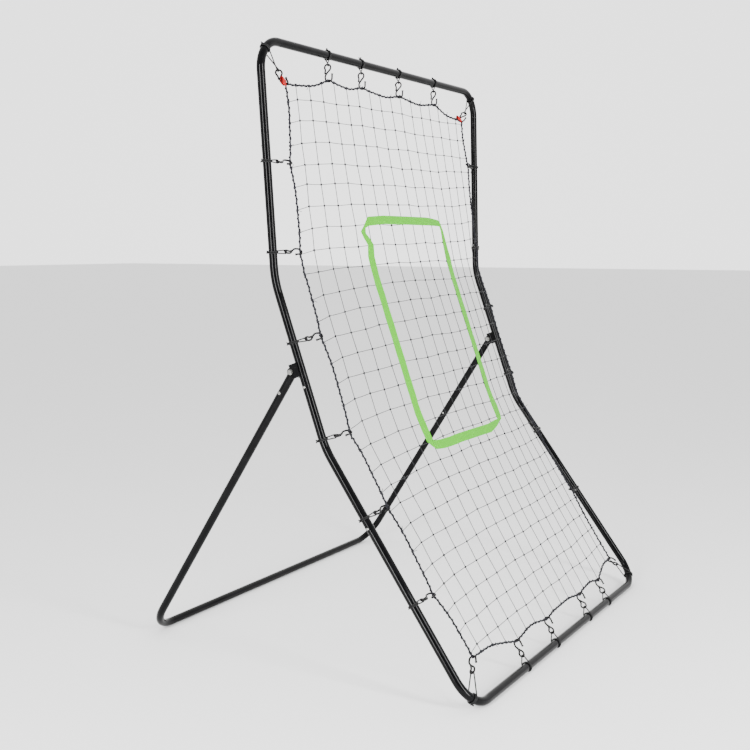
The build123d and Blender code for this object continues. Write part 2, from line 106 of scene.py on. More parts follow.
# %% A point of the frame's surface
def section_at(s):
    """The start, the start point and the direction of the straight section that holds s."""
    start, y, z = 0.0, FRONT_Y, TUBE_R
    for number, (length, angle) in enumerate(SECTIONS):
        way = (math.cos(math.radians(angle)), math.sin(math.radians(angle)))
        if s <= start + length or number == len(SECTIONS) - 1:
            return start, y, z, way
        start += length
        y += length * way[0]
        z += length * way[1]


def on_frame(x, s, lift=0.0):
    start, y, z, way = section_at(s)
    along = s - start
    return Vector((x, y + along * way[0] - lift * way[1], z + along * way[1] + lift * way[0]))


def to_player(s):
    way = section_at(s)[3]
    return Vector((0.0, -way[1], way[0]))


def rail_x(s):
    """Half the distance between the rails, which the net's pull bows inwards."""
    low, middle, top = (length for length, angle in SECTIONS)
    if s < low:
        return HALF_WIDTH - RAIL_BOW * s / low
    if s < low + middle:
        return HALF_WIDTH - RAIL_BOW
    return HALF_WIDTH - RAIL_BOW * (RAIL_LENGTH - s) / top


print("rail half distance at the bends", round(rail_x(0.7), 4))

# %% How far the net stands in front of the frame
BULGE = ((0.0, 10.0), (80.0, 17.0), (300.0, 35.0), (500.0, 60.0), (621.0, 80.0), (1005.0, 80.0))
BULGE += ((1130.0, 57.0), (1322.0, 22.0), (1441.0, 4.0), (1521.5, 0.0))
BULGE_AT_ROPE = 0.46
ROPE_HALF_WIDTH = 442.0 * MM


def bulge(x, s):
    for (low, start), (high, end) in zip(BULGE, BULGE[1:]):
        if s <= high * MM:
            middle = (start + (end - start) * (s - low * MM) / ((high - low) * MM)) * MM
            return middle * (1 - (1 - BULGE_AT_ROPE) * min(abs(x) / ROPE_HALF_WIDTH, 1.0) ** 2)
    return 0.0


def on_net(x, s):
    return on_frame(x, s, bulge(x, s))


# Where the string's line is averaged, along the rail, to round off a bend.
SMOOTH = [d * 12 * MM for d in range(-5, 6)]


def net_point(x, s):
    """A point of the taut net, where the string rounds off the bends of the frame."""
    total = Vector()
    for step in SMOOTH:
        total += on_net(x, s + step)
    return total / len(SMOOTH)


print("net stands out by", round(bulge(0.0, 0.8), 3), "in the middle")

# %% [markdown]
# ## Finishes
#
# Each finish is a small node tree on Object coordinates, so a pattern has the same scale on every
# piece. The helper starts a Principled shader and sets its constants on the shader's own sockets.


# %% A helper that starts a finish
def finish(name, colour, roughness, **sockets):
    material = bpy.data.materials.new(name)
    material.use_nodes = True
    shader = material.node_tree.nodes["Principled BSDF"]
    shader.inputs["Base Color"].default_value = (*colour, 1.0)
    shader.inputs["Roughness"].default_value = roughness
    for socket, value in sockets.items():
        shader.inputs[socket.replace("_", " ")].default_value = value
    return material, material.node_tree, shader


def add_noise(tree, scale, detail=4.0):
    """A noise that reads Object coordinates."""
    place = tree.nodes.new("ShaderNodeTexCoord")
    noise = tree.nodes.new("ShaderNodeTexNoise")
    noise.inputs["Scale"].default_value = scale
    noise.inputs["Detail"].default_value = detail
    tree.links.new(place.outputs["Object"], noise.inputs["Vector"])
    return noise


def ramp(tree, source, low, high, start=0.0, end=1.0):
    """Maps a factor onto two colours."""
    node = tree.nodes.new("ShaderNodeValToRGB")
    node.color_ramp.elements[0].position = start
    node.color_ramp.elements[1].position = end
    node.color_ramp.elements[0].color = (*low, 1.0)
    node.color_ramp.elements[1].color = (*high, 1.0)
    tree.links.new(source, node.inputs["Fac"])
    return node.outputs["Color"]


def map_range(tree, source, low, high):
    node = tree.nodes.new("ShaderNodeMapRange")
    node.inputs["To Min"].default_value = low
    node.inputs["To Max"].default_value = high
    tree.links.new(source, node.inputs["Value"])
    return node.outputs["Result"]


def add_bump(tree, shader, height, strength, distance):
    bump = tree.nodes.new("ShaderNodeBump")
    bump.inputs["Strength"].default_value = strength
    bump.inputs["Distance"].default_value = distance
    tree.links.new(height, bump.inputs["Height"])
    tree.links.new(bump.outputs["Normal"], shader.inputs["Normal"])


# %% [markdown]
# ### Gloss black powder coat
#
# Powder coat is melted plastic, so it is smooth and shiny with a faint orange peel a few millimetres
# across. Handling leaves fine scuffs that show as a change of gloss, not of colour.

# %% Powder coat
COAT_BLACK = (0.001, 0.001, 0.0012)
COAT_SCUFFED = (0.004, 0.004, 0.0045)


def make_powder_coat():
    material, tree, shader = finish("powder_coat", COAT_BLACK, 0.06, Specular_IOR_Level=0.1)
    peel = add_noise(tree, 240.0, 2.0)
    scuff = add_noise(tree, 38.0, 6.0)
    tree.links.new(map_range(tree, scuff.outputs["Fac"], 0.04, 0.1), shader.inputs["Roughness"])
    tint = ramp(tree, scuff.outputs["Fac"], COAT_BLACK, COAT_SCUFFED, 0.45, 0.85)
    tree.links.new(tint, shader.inputs["Base Color"])
    add_bump(tree, shader, peel.outputs["Fac"], 0.02, 0.0001)
    return material


powder_coat = make_powder_coat()
print("made", powder_coat.name)


# %% [markdown]
# ### Zinc plate and spring steel
#
# Bolts, washers, rivets and snap buttons are bright zinc with a slight grain from tumbling. The leaf
# springs inside the tubes are bare and darker.

# %% Bright metal
def make_metal(name, low, high, rough):
    material, tree, shader = finish(name, high, rough, Metallic=1.0)
    grain = add_noise(tree, 900.0, 6.0)
    tint = ramp(tree, grain.outputs["Fac"], low, high, 0.3, 0.7)
    tree.links.new(tint, shader.inputs["Base Color"])
    gloss = map_range(tree, grain.outputs["Fac"], rough * 0.7, rough * 1.4)
    tree.links.new(gloss, shader.inputs["Roughness"])
    add_bump(tree, shader, grain.outputs["Fac"], 0.15, 0.0001)
    return material


zinc_plate = make_metal("zinc_plate", (0.22, 0.22, 0.21), (0.48, 0.48, 0.46), 0.25)
spring_steel = make_metal("spring_steel", (0.16, 0.15, 0.14), (0.34, 0.33, 0.32), 0.35)
print("made", zinc_plate.name, "and", spring_steel.name)


# %% [markdown]
# ### String, rope and elastic
#
# All three are black fibre, but they catch the light differently. The nylon string is thin and a
# little shiny, the rope is matt with a fuzzy sheen, and the elastic has a tight braid. The braid is
# two crossed waves on Object coordinates.

# %% Fibre finishes
def make_fibre(name, colour, light, rough, scale, sheen):
    material, tree, shader = finish(name, colour, rough, Sheen_Weight=sheen, Specular_IOR_Level=0.2)
    fibre = add_noise(tree, scale, 6.0)
    tint = ramp(tree, fibre.outputs["Fac"], colour, light, 0.35, 0.75)
    tree.links.new(tint, shader.inputs["Base Color"])
    add_bump(tree, shader, fibre.outputs["Fac"], 0.5, 0.0003)
    return material


def make_braid():
    black = (0.004, 0.004, 0.004)
    material, tree, shader = finish("braided_elastic", black, 0.6, Specular_IOR_Level=0.2)
    place = tree.nodes.new("ShaderNodeTexCoord")
    waves = []
    for direction in ("X", "Z"):
        wave = tree.nodes.new("ShaderNodeTexWave")
        wave.bands_direction = direction
        wave.inputs["Scale"].default_value = 260.0
        wave.inputs["Distortion"].default_value = 1.0
        tree.links.new(place.outputs["Object"], wave.inputs["Vector"])
        waves.append(wave)
    cross = tree.nodes.new("ShaderNodeMath")
    cross.operation = "MULTIPLY"
    tree.links.new(waves[0].outputs["Fac"], cross.inputs[0])
    tree.links.new(waves[1].outputs["Fac"], cross.inputs[1])
    tint = ramp(tree, cross.outputs["Value"], (0.002, 0.002, 0.002), (0.014, 0.014, 0.015))
    tree.links.new(tint, shader.inputs["Base Color"])
    add_bump(tree, shader, cross.outputs["Value"], 0.6, 0.0003)
    return material


net_string = make_fibre("net_string", (0.002, 0.002, 0.003), (0.012, 0.012, 0.015), 0.55, 1500.0, 0.02)
rope_fibre = make_fibre("rope_fibre", (0.002, 0.002, 0.004), (0.009, 0.009, 0.014), 0.62, 1800.0, 0.03)
elastic_braid = make_braid()
print("made", net_string.name, rope_fibre.name, "and", elastic_braid.name)


# %% Hook lacquer
def make_hook_lacquer():
    black = (0.001, 0.001, 0.0013)
    material, tree, shader = finish("hook_lacquer", black, 0.25, Specular_IOR_Level=0.2)
    runs = add_noise(tree, 420.0, 3.0)
    tree.links.new(map_range(tree, runs.outputs["Fac"], 0.2, 0.42), shader.inputs["Roughness"])
    add_bump(tree, shader, runs.outputs["Fac"], 0.12, 0.0002)
    return material


hook_lacquer = make_hook_lacquer()
print("made", hook_lacquer.name)


# %% [markdown]
# ### Woven ribbon and cloth tag
#
# The strike zone is a flat polyester ribbon. Its weave is a fine ladder of threads, with painted shade
# that leaves the hollows between threads darker and the crowns lighter, so the pattern follows the
# ribbon's own UV map, which runs in millimetres along and across.

# %% Woven cloth
def make_weave(name, valley_shade, light, threads, rough):
    material, tree, shader = finish(name, light, rough, Specular_IOR_Level=0.2)
    uv = tree.nodes.new("ShaderNodeUVMap")
    uv.uv_map = "cloth"
    heights = []
    for direction in ("X", "Y"):
        wave = tree.nodes.new("ShaderNodeTexWave")
        wave.bands_direction = direction
        wave.inputs["Scale"].default_value = threads
        wave.inputs["Distortion"].default_value = 0.4
        tree.links.new(uv.outputs["UV"], wave.inputs["Vector"])
        heights.append(wave.outputs["Fac"])
    weave = tree.nodes.new("ShaderNodeMath")
    weave.operation = "MULTIPLY"
    tree.links.new(heights[0], weave.inputs[0])
    tree.links.new(heights[1], weave.inputs[1])
    # Painted shade: the hollows between threads are darker and the crowns lighter, following the
    # bump's height.
    tint = ramp(tree, weave.outputs["Value"], valley_shade, light, 0.0, 0.6)
    tree.links.new(tint, shader.inputs["Base Color"])
    add_bump(tree, shader, weave.outputs["Value"], 0.35, 0.0002)
    return material


lime_ribbon = make_weave("lime_ribbon", (0.04, 0.29, 0.0), (0.065, 0.42, 0.0), 0.32, 0.6)
red_cloth = make_weave("red_cloth", (0.25, 0.0, 0.0), (0.45, 0.001, 0.001), 0.4, 0.7)
print("made", lime_ribbon.name, "and", red_cloth.name)

# %% Give the model's own nodes their finishes
FINISH_OF = {"black_steel": powder_coat, "zinc_steel": zinc_plate, "spring_steel": spring_steel}
FINISH_OF.update({"hook_black": hook_lacquer, "elastic": elastic_braid, "net_cord": net_string})
FINISH_OF.update({"rope": rope_fibre, "green_ribbon": lime_ribbon, "red_cloth": red_cloth})
for part in frame["record"]["subparts"]:
    node = frame["nodes"][part["node"]]
    if not node.material_slots:
        node.data.materials.append(None)
    for slot in node.material_slots:
        slot.link = "OBJECT"
        slot.material = FINISH_OF[part["material_slot"]]
print("finished", len(frame["nodes"]), "nodes")

# %% [markdown]
# ## A helper for everything that is string
#
# String, rope, elastic and bent wire are all round sections along a path. A curve with a round bevel
# gives clean mitred tubes, and many short paths can share one curve. The curve is made a mesh, so that
# the finished piece holds its place in its own points.


# %% Tubes along paths
def tubes(name, paths, radius, sides, material, closed=False, tapers=None):
    """One mesh piece with a round tube along each path."""
    curve = bpy.data.curves.new(name, "CURVE")
    curve.dimensions = "3D"
    curve.bevel_depth = radius
    curve.bevel_resolution = sides
    curve.use_fill_caps = True
    for number, path in enumerate(paths):
        spline = curve.splines.new("POLY")
        spline.points.add(len(path) - 1)
        for point, place in zip(spline.points, path):
            point.co = (*place, 1.0)
        spline.use_cyclic_u = closed
        if tapers:
            for point, taper in zip(spline.points, tapers[number]):
                point.radius = taper
    maker = bpy.data.objects.new(name + "_path", curve)
    mesh = bpy.data.meshes.new_from_object(maker)
    mesh.name = name
    mesh.shade_smooth()
    bpy.data.objects.remove(maker)
    piece = bpy.data.objects.new(name, mesh)
    bpy.context.scene.collection.objects.link(piece)
    piece.data.materials.clear()
    piece.data.materials.append(material)
    return piece


def triangles(piece):
    return sum(len(face.vertices) - 2 for face in piece.data.polygons)


def smooth_path(points, steps):
    """A smooth line through every point, as a bent wire or a hanging rope takes."""
    line = []
    ends = [points[0] * 2 - points[1]] + list(points) + [points[-1] * 2 - points[-2]]
    for a, b, c, d in zip(ends, ends[1:], ends[2:], ends[3:]):
        for step in range(steps):
            t = step / steps
            line.append(0.5 * (2 * b + (c - a) * t + (2 * a - 5 * b + 4 * c - d) * t**2
                               + (3 * b - a - 3 * c + d) * t**3))
    return line + [points[-1]]


# %% [markdown]
# ## The border rope
#
# The net's edge is laced onto one rope. Twenty-four hooks pull it outwards, and between two hooks the
# net pulls it back in, so it hangs in scallops. The rope is three strands laid round each other.

# %% Where the hooks hold the rope
TOP_HOOK_X = [x * MM for x in (-250.0, -105.0, 75.0, 264.0)]
TOP_CATCH_S = 1465.0 * MM
BOTTOM_HOOK_X = [x * MM for x in (-240.0, -70.0, 143.0, 283.0)]
BOTTOM_CATCH_S = 58.0 * MM
LEFT_HOOK_S = [s * MM for s in (240.0, 447.0, 641.0, 862.0, 1066.0, 1262.0)]
RIGHT_HOOK_S = [s * MM for s in (300.0, 500.0, 690.0, 890.0, 1075.0, 1308.0)]
SIDE_REACH = 64.0 * MM
CORNER_REACH = 94.0 * MM
CORNER_CATCH = CORNER_R * (1 - math.sqrt(0.5)) + CORNER_REACH * math.sqrt(0.5)
CORNER_X = HALF_WIDTH - CORNER_CATCH
TOP_CORNER_S = RAIL_LENGTH - CORNER_CATCH
BOTTOM_CORNER_S = CORNER_CATCH


def side_x(s):
    return rail_x(s) - math.sqrt(SIDE_REACH**2 - bulge(ROPE_HALF_WIDTH, s) ** 2)


def corner_middle(side, end):
    """The middle of a rounded corner's arc, at the bottom or the top of a rail."""
    corner = on_frame(side * rail_x(end), end)
    into = (corner - on_frame(side * rail_x(abs(end - 0.001)), abs(end - 0.001))).normalized()
    out = Vector((-side, 0.0, 0.0))
    return corner + (out - into).normalized() * CORNER_R * (1 / math.cos(into.angle(out) / 2) - 1)


def all_hooks():
    """Each side's hooks: where the rope is caught, where the tube is, and the height s."""
    sides = {"top": [], "bottom": [], "left": [], "right": []}
    for x in TOP_HOOK_X:
        sides["top"].append((on_net(x, TOP_CATCH_S), on_frame(x, RAIL_LENGTH), TOP_CATCH_S))
    for x in BOTTOM_HOOK_X:
        sides["bottom"].append((on_net(x, BOTTOM_CATCH_S), on_frame(x, 0.0), BOTTOM_CATCH_S))
    for side, word, levels in ((-1, "left", LEFT_HOOK_S), (1, "right", RIGHT_HOOK_S)):
        for s in levels:
            sides[word].append((on_net(side * side_x(s), s), on_frame(side * rail_x(s), s), s))
        held = on_net(side * CORNER_X, TOP_CORNER_S)
        sides["top"].append((held, corner_middle(side, RAIL_LENGTH), TOP_CORNER_S))
        held = on_net(side * CORNER_X, BOTTOM_CORNER_S)
        sides["bottom"].append((held, corner_middle(side, 0.0), BOTTOM_CORNER_S))
    return sides


hooks = all_hooks()
print("hooks", {word: len(held) for word, held in hooks.items()})

# %% The rope's line, scalloped between hooks
SAG_BAR = 10.0 * MM
SAG_SIDE = 8.0 * MM


def rope_ring():
    """The rope's catches all the way round, clockwise from the bottom left, as x and s."""
    ring = [(-CORNER_X, BOTTOM_CORNER_S)] + [(-side_x(s), s) for s in LEFT_HOOK_S]
    ring += [(-CORNER_X, TOP_CORNER_S)] + [(x, TOP_CATCH_S) for x in TOP_HOOK_X]
    ring += [(CORNER_X, TOP_CORNER_S)] + [(side_x(s), s) for s in reversed(RIGHT_HOOK_S)]
    ring += [(CORNER_X, BOTTOM_CORNER_S)] + [(x, BOTTOM_CATCH_S) for x in reversed(BOTTOM_HOOK_X)]
    return ring + [ring[0]]


SPAN_STEPS = 24


def rope_flat():
    """The rope's line in x and s, a shallow arch inwards between each two catches."""
    line = []
    ring = rope_ring()
    for (x0, s0), (x1, s1) in zip(ring, ring[1:]):
        upright = abs(s1 - s0) > abs(x1 - x0)
        for step in range(SPAN_STEPS):
            t = step / SPAN_STEPS
            arch = (1 - (2 * t - 1) ** 2) + 0.12 * math.sin(math.pi * t) * math.sin(9 * t + x0 * 40)
            x, s = x0 + (x1 - x0) * t, s0 + (s1 - s0) * t
            if upright:
                x -= math.copysign(SAG_SIDE * arch, x)
            else:
                s -= math.copysign(SAG_BAR * arch, s - RAIL_LENGTH / 2)
            line.append((x, s))
    return line


rope_line = rope_flat()
rope_path = [on_net(x, s) for x, s in rope_line]
rope_length = sum((b - a).length for a, b in zip(rope_path, rope_path[1:] + rope_path[:1]))
print("border rope", round(rope_length, 3), "m")

# %% Three strands laid round each other
ROPE_R = 2.2 * MM
LAY = 13.0 * MM
STRAND_STEP = 1.6 * MM


def spaced(path, step):
    """The closed path again, in equal steps."""
    points = list(path) + [path[0]]
    along = [0.0]
    for a, b in zip(points, points[1:]):
        along.append(along[-1] + (b - a).length)
    count = round(along[-1] / step)
    result, k = [], 0
    for number in range(count):
        want = along[-1] * number / count
        while k < len(along) - 2 and along[k + 1] < want:
            k += 1
        t = (want - along[k]) / max(along[k + 1] - along[k], 1e-9)
        result.append(points[k].lerp(points[k + 1], t))
    return result, along[-1]


def laid_strands(path, radius, lay, step, strands=3):
    """The lines of the strands of a laid rope along a closed path."""
    line, length = spaced(path, step)
    turns = round(length / lay)
    lines = [[] for _ in range(strands)]
    count = len(line)
    for k, point in enumerate(line):
        way = (line[(k + 1) % count] - line[k - 1]).normalized()
        side = way.cross(Vector((0.3, -0.9, 0.3))).normalized()
        up = side.cross(way)
        for strand, strand_line in enumerate(lines):
            turn = 2 * math.pi * (turns * k / count + strand / strands)
            strand_line.append(point + (side * math.cos(turn) + up * math.sin(turn)) * radius)
    return lines


STRAND_R = ROPE_R * 0.52
strand_lines = laid_strands(rope_path, ROPE_R - STRAND_R, LAY, STRAND_STEP)
rope = tubes("border_rope_laid", strand_lines, STRAND_R, 1, rope_fibre, closed=True)
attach(rope, "frame")
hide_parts("border_rope")
print("rope strands", len(strand_lines), "triangles", triangles(rope))

# %% [markdown]
# The edge of the net is bound to the rope with a thinner cord that winds round it. It is one more
# laid line, with a longer lay and on the outside of the rope.

# %% The cord that binds the net to the rope
BINDING_R = 0.9 * MM
BINDING_LAY = 17.0 * MM
BINDING_WAY_R = ROPE_R + BINDING_R * 0.5
binding_lines = laid_strands(rope_path, BINDING_WAY_R, BINDING_LAY, STRAND_STEP, strands=1)
binding = tubes("rope_binding", binding_lines, BINDING_R, 1, rope_fibre, closed=True)
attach(binding, "frame")
print("binding triangles", triangles(binding))

# %% [markdown]
# ## The knotted net
#
# The net has sixteen upright strings and twenty-seven level ones, and a knot at each crossing. Taut
# string runs all but straight from knot to knot, so a knot's place is what is worked out. The rows
# are evenly spaced along the string itself, and the pull of the hooks tilts them a little.

# %% Where the knots are
COLUMNS = 16
ROWS = 27
MIDDLE_COLUMN = (COLUMNS + 1) / 2
# A piece of rope nearer the middle than this belongs to another side of the ring.
SIDE_FROM_MIDDLE = 0.36
BAR_FROM_MIDDLE = 0.6
MESH = 50.9 * MM
MESH_STRETCH = 1.6 * MM


def mesh_width(s):
    """The width of one mesh, a little more half way up, where the sides are pulled apart."""
    return MESH + MESH_STRETCH * math.sin(math.pi * s / RAIL_LENGTH)


def rope_edge(upright, side, at):
    """Where the rope is: its x at height s on one side, or its s at x on the top or bottom."""
    best, found = 1e9, 0.0
    for (x0, s0), (x1, s1) in zip(rope_line, rope_line[1:] + rope_line[:1]):
        a, b = (s0, s1) if upright else (x0, x1)
        other = (x0 + x1) / 2 * side if upright else ((s0 + s1) / 2 - RAIL_LENGTH / 2) * side
        nearest = SIDE_FROM_MIDDLE if upright else BAR_FROM_MIDDLE
        if other < 0 or abs(other) < nearest:
            continue
        if min(a, b) <= at <= max(a, b) and abs(b - a) > 1e-9:
            t = (at - a) / (b - a)
            return x0 + (x1 - x0) * t if upright else s0 + (s1 - s0) * t
        if min(abs(at - a), abs(at - b)) < best:
            best, found = min(abs(at - a), abs(at - b)), (x0 if upright else s0)
    return found


FIRST_ROW_S = 117.0 * MM
LAST_ROW_S = 1417.0 * MM
HEIGHT_STEPS = 400


def knot_places():
    """The net's knots, as rows from the bottom up."""
    span = LAST_ROW_S - FIRST_ROW_S
    heights = [FIRST_ROW_S + span * k / HEIGHT_STEPS for k in range(HEIGHT_STEPS + 1)]
    centre = [(s, net_point(0.0, s)) for s in heights]
    along = [0.0]
    for (s0, a), (s1, b) in zip(centre, centre[1:]):
        along.append(along[-1] + (b - a).length)
    rows = []
    for row in range(ROWS):
        want = along[-1] * row / (ROWS - 1)
        k = next(i for i, distance in enumerate(along) if distance >= want - 1e-9)
        height = centre[k][0]
        knots = []
        for column in range(1, COLUMNS + 1):
            u = (column - MIDDLE_COLUMN) / MIDDLE_COLUMN
            fade = 0.35 if height > 1.3 and u > 0 else 1.0
            s = height + (7.0 * u + 11.0 * u**3) * MM * fade
            s += 2.4 * MM * math.sin(column * 1.7 + row * 0.9) * 0.5 + random.uniform(-1.2, 1.2) * MM
            x = (column - MIDDLE_COLUMN) * mesh_width(s) + random.uniform(-1.5, 1.5) * MM
            knots.append((x, s, net_point(x, s)))
        rows.append(knots)
    print("row spacing", round(along[-1] / (ROWS - 1), 4))
    return rows


knots = knot_places()

# %% Strings from knot to knot
STRING_R = 0.75 * MM
STRING_SAG = 0.25 * MM
# How far a level string drops to the rope on the left, and rises to it on the right.
LEFT_END_DROP = 9 * MM
RIGHT_END_RISE = 2 * MM


def end_on_rope(upright, side, at):
    """Where a string ends on the rope."""
    value = rope_edge(not upright, side, at)
    x, s = (at, value) if upright else (value, at)
    return on_net(x, s)


def sagging(points, sag):
    """A string through the knots with a slight sag between them."""
    line = []
    for number, (a, b) in enumerate(zip(points, points[1:])):
        droop = sag * (1.0 + 0.6 * math.sin(number * 2.3))
        line += [a, a.lerp(b, 0.33) + Vector((0, 0, -droop)), a.lerp(b, 0.67) + Vector((0, 0, -droop))]
    return line + [points[-1]]


def string_paths():
    paths, ends = [], []
    for column in range(COLUMNS):
        points = [knots[row][column][2] for row in range(ROWS)]
        low = end_on_rope(True, -1, knots[0][column][0])
        high = end_on_rope(True, 1, knots[-1][column][0])
        paths.append([low] + points + [high])
        ends += [low, high]
    for row in range(ROWS):
        points = [knot[2] for knot in knots[row]]
        left = end_on_rope(False, -1, knots[row][0][1] - LEFT_END_DROP)
        right = end_on_rope(False, 1, knots[row][-1][1] + RIGHT_END_RISE)
        paths.append(sagging([left] + points + [right], STRING_SAG))
        ends += [left, right]
    return paths, ends


paths, string_ends = string_paths()
strings = tubes("net_strings", paths, STRING_R, 1, net_string)
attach(strings, "frame")
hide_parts("net_panel")
print("strings", len(paths), "triangles", triangles(strings))

# %% [markdown]
# ### Knots
#
# A net knot is a small tight lump, longer across than high. Each one starts as an icosphere, is
# squeezed, turned a little, and moved to its crossing. They share one mesh.


# %% Knots and the lashings on the rope
LUMP_SUBDIVISIONS = 2


def lumps(name, places, radii, material):
    """Small lumps at many places, in one mesh."""
    bm = bmesh.new()
    for place, (rx, ry, rz) in zip(places, radii):
        ball = bmesh.ops.create_icosphere(bm, subdivisions=LUMP_SUBDIVISIONS, radius=1.0)
        turn = Matrix.Rotation(random.uniform(-0.5, 0.5), 4, "Y")
        matrix = Matrix.Translation(place) @ turn @ Matrix.Diagonal((rx, ry, rz, 1))
        bmesh.ops.transform(bm, verts=ball["verts"], matrix=matrix)
    mesh = bpy.data.meshes.new(name)
    bm.to_mesh(mesh)
    bm.free()
    mesh.shade_smooth()
    piece = bpy.data.objects.new(name, mesh)
    bpy.context.scene.collection.objects.link(piece)
    piece.data.materials.append(material)
    return piece


# The smallest and largest half width, depth and height of a knot and of a lashing, in millimetres.
KNOT_SPANS = ((2.6, 3.5), (2.1, 2.4), (2.3, 3.0))
LASHING_SPANS = ((3.2, 4.2), (3.0, 3.4), (3.2, 4.0))
knot_sites = [knot[2] for row in knots for knot in row]
knot_sizes = [[random.uniform(*span) * MM for span in KNOT_SPANS] for _ in knot_sites]
knot_piece = lumps("net_knots", knot_sites, knot_sizes, net_string)
lash_sizes = [[random.uniform(*span) * MM for span in LASHING_SPANS] for _ in string_ends]
lashings = lumps("rope_lashings", string_ends, lash_sizes, rope_fibre)
for piece, slot in ((knot_piece, "net_cord"), (lashings, "rope")):
    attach(piece, "frame")
print("knots", len(knot_sites), "lashings", len(string_ends))

# %% String tails that stick out of the rope
TAIL_REACH = (7, 13)


def tail_paths():
    tails = []
    for number, end in enumerate(string_ends):
        if number % 3 == 1:
            continue
        out = Vector((random.uniform(-1, 1), random.uniform(-0.8, 0.2), random.uniform(-0.6, 1)))
        out.normalize()
        bend = Vector((random.uniform(-1, 1), 0, random.uniform(-1, 1))) * 3 * MM
        reach = random.uniform(*TAIL_REACH) * MM
        tails.append([end, end + out * reach * 0.5, end + out * reach + bend])
    return tails


tails = tubes("string_tails", tail_paths(), STRING_R * 0.8, 1, net_string)
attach(tails, "frame")
print("tails", triangles(tails), "triangles")

# %% [markdown]
# ## Hooks
#
# Each hook is one bent wire: a closed eye for the elastic, a shank that leans over, and an open crook
# that holds the rope. It is drawn once in its own plane and set down at each catch.

# %% The hook's line
HOOK_WIRE_R = 2.1 * MM
CROOK_R = 8.7 * MM
CROOK_CENTRE = Vector((4.5, -0.5, 0.0)) * MM
EYE_R = 6.9 * MM
EYE_CENTRE = Vector((28.5, -1.0, 0.0)) * MM
HOOK_TIP = ((13.5, 9.3), (10.5, 8.8), (7.0, 8.4))
HOOK_SHANK = ((8.5, -9.2), (12.5, -7.4), (17.5, -2.8), (22.0, 2.6), (25.5, 5.4))
HOOK_END = ((20.0, -6.3), (16.0, -7.4), (13.5, -8.0))
# How far a side hook's weight turns it, and the most that any hook is turned at random, in radians.
HANG = 0.8
HOOK_TURN = 0.25
# How much thicker the wire's rounded tip is.
TIP_SWELL = 1.25


def hook_line():
    """The wire's line: the tip, round the crook, up the shank, round the eye and back."""
    line = [Vector((x, y, 0)) * MM for x, y in HOOK_TIP]
    for step in range(9):
        turn = math.pi / 2 + math.pi * step / 8
        line.append(CROOK_CENTRE + Vector((math.cos(turn), math.sin(turn), 0)) * CROOK_R)
    line += [Vector((x, y, 0.25 * k)) * MM for k, (x, y) in enumerate(HOOK_SHANK)]
    for step in range(11):
        turn = math.radians(75 - 205 * step / 10)
        rise = Vector((0, 0, 1.2 - 0.45 * step)) * MM
        line.append(EYE_CENTRE + Vector((math.cos(turn), math.sin(turn), 0)) * EYE_R + rise)
    return line + [Vector((x, y, -3.6)) * MM for x, y in HOOK_END]


def local_frame(held, tied, s):
    """Local X from the rope to the tube, Y to the player, Z along the tube."""
    x_axis = (tied - held).normalized()
    z_axis = x_axis.cross(to_player(s)).normalized()
    y_axis = z_axis.cross(x_axis)
    return Matrix.Translation(held) @ Matrix((x_axis, y_axis, z_axis)).transposed().to_4x4()


def hook_turn(word):
    """A hook turns a little about its pull. On the upright sides its own weight turns the tip down."""
    hang = {"left": -HANG, "right": HANG}.get(word, 0.0)
    return Matrix.Rotation(hang + random.uniform(-HOOK_TURN, HOOK_TURN), 4, "X")


for word, held_hooks in hooks.items():
    lines = []
    for held, tied, s in held_hooks:
        place = local_frame(held, tied, s) @ hook_turn(word)
        lines.append([place @ point for point in smooth_path(hook_line(), 2)])
    tapers = [[TIP_SWELL if k < 2 else 1.0 for k in range(len(line))] for line in lines]
    piece = tubes(f"{word}_wire_hooks", lines, HOOK_WIRE_R, 3, hook_lacquer, tapers=tapers)
    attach(piece, "frame")
    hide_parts(f"{word}_hooks")
    print(word, "hooks", len(lines), "triangles", triangles(piece))

# %% [markdown]
# ## Elastic loops
#
# A loop of thin elastic runs through each hook's eye and round the tube, and is knotted on the far
# side with two short tails. It is taut, so its two strands are straight, and they spread like a V to
# leave the tube on its front and on its back.

# %% Elastic loops
ELASTIC_R = 1.45 * MM
WRAP_R = TUBE_R + 1.5 * MM
SPREAD = 5.0 * MM
KNOT_R = 2.8 * MM
KNOT_OUT = 1.6 * MM
WRAP_STEPS = 60
# The lowest place of an elastic's middle, so that it lies on the floor and not in it.
ELASTIC_FLOOR = ELASTIC_R * 1.05


def elastic_lines(reach):
    """The closed line of a loop, and the two tails of its knot, in the hook's plane."""
    eye_top = EYE_CENTRE.x + EYE_R
    eye_x = eye_top - HOOK_WIRE_R - ELASTIC_R
    beside = HOOK_WIRE_R + ELASTIC_R + 0.2 * MM
    loop = []
    for step in range(7):
        turn = math.pi * step / 6
        x = eye_top - math.sin(turn) * (eye_top - eye_x)
        loop.append(Vector((x, -math.cos(turn) * MM, math.cos(turn) * beside)))
    lean = math.acos(WRAP_R / (reach - eye_x))
    first = math.pi - lean
    last = -first - 2 * math.pi
    for step in range(WRAP_STEPS + 1):
        turn = first + (last - first) * step / WRAP_STEPS
        along = SPREAD * (step / WRAP_STEPS - 0.5)
        loop.append(Vector((reach + math.cos(turn) * WRAP_R, math.sin(turn) * WRAP_R, along)))
    knot = Vector((reach + WRAP_R + KNOT_OUT, 0, 0))
    tails = []
    for end in (-1, 1):
        away, aside, apart = random.uniform(2, 4), random.uniform(-3, 3), random.uniform(2, 3.5)
        out = Vector((away, aside, end * apart)) * MM
        tails.append([knot, knot + out * 0.5, knot + out * 1.0])
    return loop, tails, knot


def raised(points, lowest):
    """The points, with none below the height lowest."""
    return [Vector((p.x, p.y, max(p.z, lowest))) for p in points]


